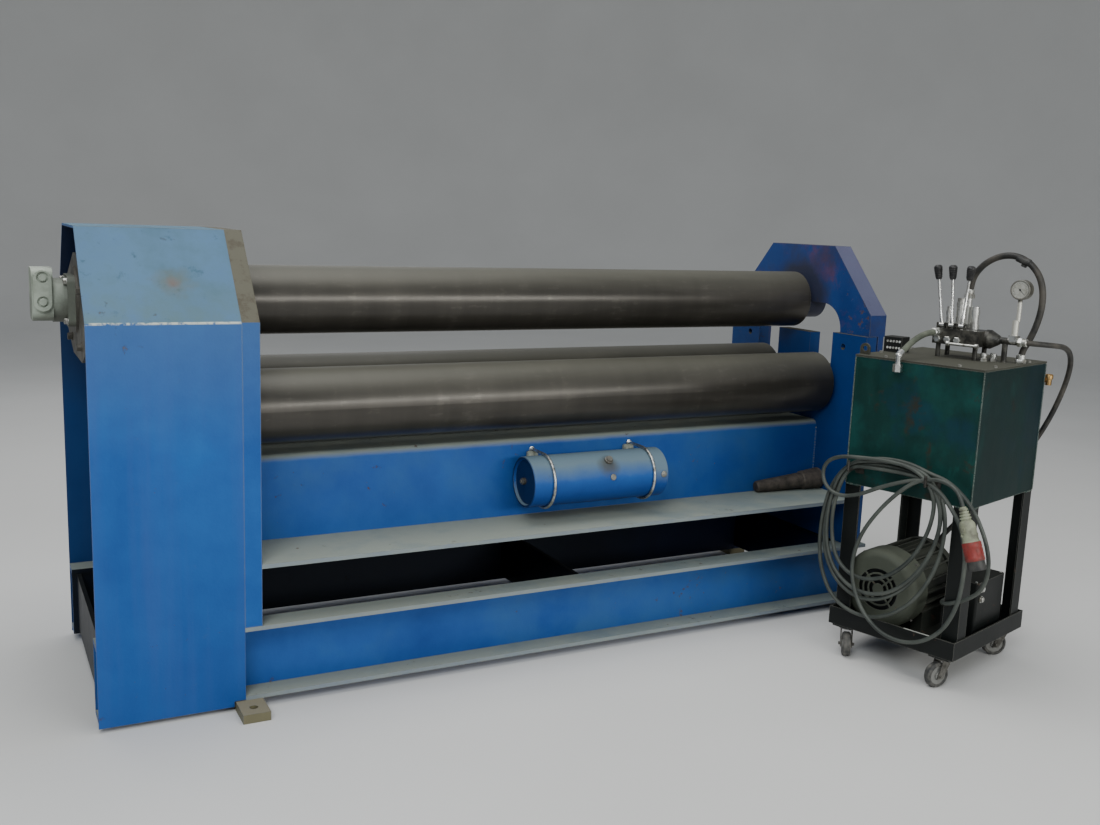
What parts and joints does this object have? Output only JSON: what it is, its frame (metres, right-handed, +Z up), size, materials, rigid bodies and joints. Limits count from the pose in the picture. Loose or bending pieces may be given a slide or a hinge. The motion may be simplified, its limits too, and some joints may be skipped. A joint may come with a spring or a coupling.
{
  "type": "plate rolling machine",
  "caption": "Three-roll plate bending machine with a tilting drop end and lifting lower rolls, with its separate hydraulic power pack on castors.",
  "frame": {"origin": "on the floor, midway between the four anchor holes of the machine's foot pads", "axes": "+X along the rolls towards the drop end, -Y the operator's side, +Z up"},
  "size_m": [2.7738, 1.6177, 1.255],
  "materials": {
    "blue_paint": "worn royal blue machine paint with dust and rust spots",
    "dark_paint": "near black, dirty",
    "pad_paint": "yellowish olive, dusty",
    "roll_steel": "dark greasy forged steel",
    "machined_steel": "dull machined steel",
    "bronze": "bearing bronze, oily",
    "old_iron": "dark worn iron",
    "motor_casting": "grey-green painted casting, dirty",
    "tank_green": "dark teal green, worn at the edges",
    "lid_paint": "dark grey-brown, oily",
    "motor_grey": "light grey, dusty",
    "bright_steel": "bright plated steel",
    "gauge_face": "beige dial in a dark rim",
    "castor_steel": "dull plated steel",
    "castor_rubber": "dark worn rubber",
    "hose_rubber": "black rubber",
    "cable_sheath": "dark grey rubber, dusty",
    "plug_cream": "cream plug with a red collar"
  },
  "bodies": {
    "frame": {"base_channels": "blue_paint", "base_cross_ties": "blue_paint", "side_plate_left": "blue_paint", "side_plate_right": "blue_paint", "bed_beam": "blue_paint", "bed_shelves": "blue_paint", "left_cover_sides": "blue_paint", "left_cover_top": "blue_paint", "oil_reservoir": "blue_paint", "drop_end_hinges": "blue_paint", "rear_slot_panel": "dark_paint", "pack_tray": "dark_paint", "pack_legs": "dark_paint", "starter_box": "dark_paint", "manifold_block": "dark_paint", "foot_pads": "pad_paint", "top_bearing_housing": "machined_steel", "outboard_plate": "machined_steel", "lift_cylinders": "machined_steel", "valve_block": "machined_steel", "reservoir_clamps": "machined_steel", "loose_bar": "old_iron", "roll_motor": "motor_casting", "gear_pump": "motor_casting", "tank": "tank_green", "tank_lid": "lid_paint", "electric_motor": "motor_grey", "motor_cowl": "motor_grey", "short_hose_fitting": "bright_steel", "cable_hooks": "bright_steel", "pressure_gauge": "gauge_face", "return_hose": "hose_rubber", "pressure_hose": "hose_rubber", "short_hose": "hose_rubber", "cable_coil": "cable_sheath", "cable_lead": "cable_sheath", "plug_lead": "cable_sheath", "cable_plug": "plug_cream"},
    "top_roll": {"top_roll": "roll_steel"},
    "front_lift": {"front_bearing_blocks": "machined_steel"},
    "rear_lift": {"rear_bearing_blocks": "machined_steel"},
    "front_roll": {"front_roll": "roll_steel"},
    "rear_roll": {"rear_roll": "roll_steel"},
    "drop_end": {"drop_end_yoke": "blue_paint", "drop_end_bush": "bronze"},
    "control_lever_1": {"control_lever_1": "bright_steel"},
    "control_lever_2": {"control_lever_2": "bright_steel"},
    "control_lever_3": {"control_lever_3": "bright_steel"},
    "castor_fork_1": {"castor_fork_1": "castor_steel"},
    "castor_wheel_1": {"castor_wheel_1": "castor_rubber"},
    "castor_fork_2": {"castor_fork_2": "castor_steel"},
    "castor_wheel_2": {"castor_wheel_2": "castor_rubber"},
    "castor_fork_3": {"castor_fork_3": "castor_steel"},
    "castor_wheel_3": {"castor_wheel_3": "castor_rubber"},
    "castor_fork_4": {"castor_fork_4": "castor_steel"},
    "castor_wheel_4": {"castor_wheel_4": "castor_rubber"}
  },
  "joints": [
    {"name": "top_roll_turn", "type": "hinge", "parent": "frame", "child": "top_roll", "pos_m": [0, 0, 1.0495], "axis": [1, 0, 0], "continuous": true},
    {"name": "drop_end_tilt", "type": "hinge", "parent": "frame", "child": "drop_end", "pos_m": [1.09, 0, 0.56], "axis": [0, 1, 0], "range_deg": [0, 60]},
    {"name": "front_roll_lift", "type": "slide", "parent": "frame", "child": "front_lift", "axis": [0, 0, 1], "range_m": [0, 0.12]},
    {"name": "front_roll_turn", "type": "hinge", "parent": "front_lift", "child": "front_roll", "pos_m": [0, -0.144, 0.769], "axis": [1, 0, 0], "continuous": true},
    {"name": "rear_roll_lift", "type": "slide", "parent": "frame", "child": "rear_lift", "axis": [0, 0, 1], "range_m": [0, 0.12]},
    {"name": "rear_roll_turn", "type": "hinge", "parent": "rear_lift", "child": "rear_roll", "pos_m": [0, 0.144, 0.769], "axis": [1, 0, 0], "continuous": true},
    {"name": "lever_1_tilt", "type": "hinge", "parent": "frame", "child": "control_lever_1", "pos_m": [0.94623, -0.74425, 1.031], "axis": [-0.2756, 0.9613, 0], "range_deg": [-10, 10], "stiffness_Nm_per_rad": 3},
    {"name": "lever_2_tilt", "type": "hinge", "parent": "frame", "child": "control_lever_2", "pos_m": [0.95477, -0.77405, 1.031], "axis": [-0.2756, 0.9613, 0], "range_deg": [-10, 10], "stiffness_Nm_per_rad": 3},
    {"name": "lever_3_tilt", "type": "hinge", "parent": "frame", "child": "control_lever_3", "pos_m": [0.96332, -0.80385, 1.031], "axis": [-0.2756, 0.9613, 0], "range_deg": [-10, 10], "stiffness_Nm_per_rad": 3},
    {"name": "castor_1_swivel", "type": "hinge", "parent": "frame", "child": "castor_fork_1", "pos_m": [0.81446, -0.99217, 0.0889], "axis": [0, 0, 1], "continuous": true},
    {"name": "castor_1_roll", "type": "hinge", "parent": "castor_fork_1", "child": "castor_wheel_1", "pos_m": [0.79252, -0.99064, 0.0375], "axis": [0.0698, 0.9976, 0], "continuous": true},
    {"name": "castor_2_swivel", "type": "hinge", "parent": "frame", "child": "castor_fork_2", "pos_m": [0.72626, -0.68457, 0.0889], "axis": [0, 0, 1], "continuous": true},
    {"name": "castor_2_roll", "type": "hinge", "parent": "castor_fork_2", "child": "castor_wheel_2", "pos_m": [0.71241, -0.70167, 0.0375], "axis": [-0.7771, 0.6293, 0], "continuous": true},
    {"name": "castor_3_swivel", "type": "hinge", "parent": "frame", "child": "castor_fork_3", "pos_m": [1.17974, -0.88743, 0.0889], "axis": [0, 0, 1], "continuous": true},
    {"name": "castor_3_roll", "type": "hinge", "parent": "castor_fork_3", "child": "castor_wheel_3", "pos_m": [1.15964, -0.87848, 0.0375], "axis": [0.4067, 0.9135, 0], "continuous": true},
    {"name": "castor_4_swivel", "type": "hinge", "parent": "frame", "child": "castor_fork_4", "pos_m": [1.09154, -0.57983, 0.0889], "axis": [0, 0, 1], "continuous": true},
    {"name": "castor_4_roll", "type": "hinge", "parent": "castor_fork_4", "child": "castor_wheel_4", "pos_m": [1.07176, -0.58947, 0.0375], "axis": [-0.4384, 0.8988, 0], "continuous": true}
  ]
}
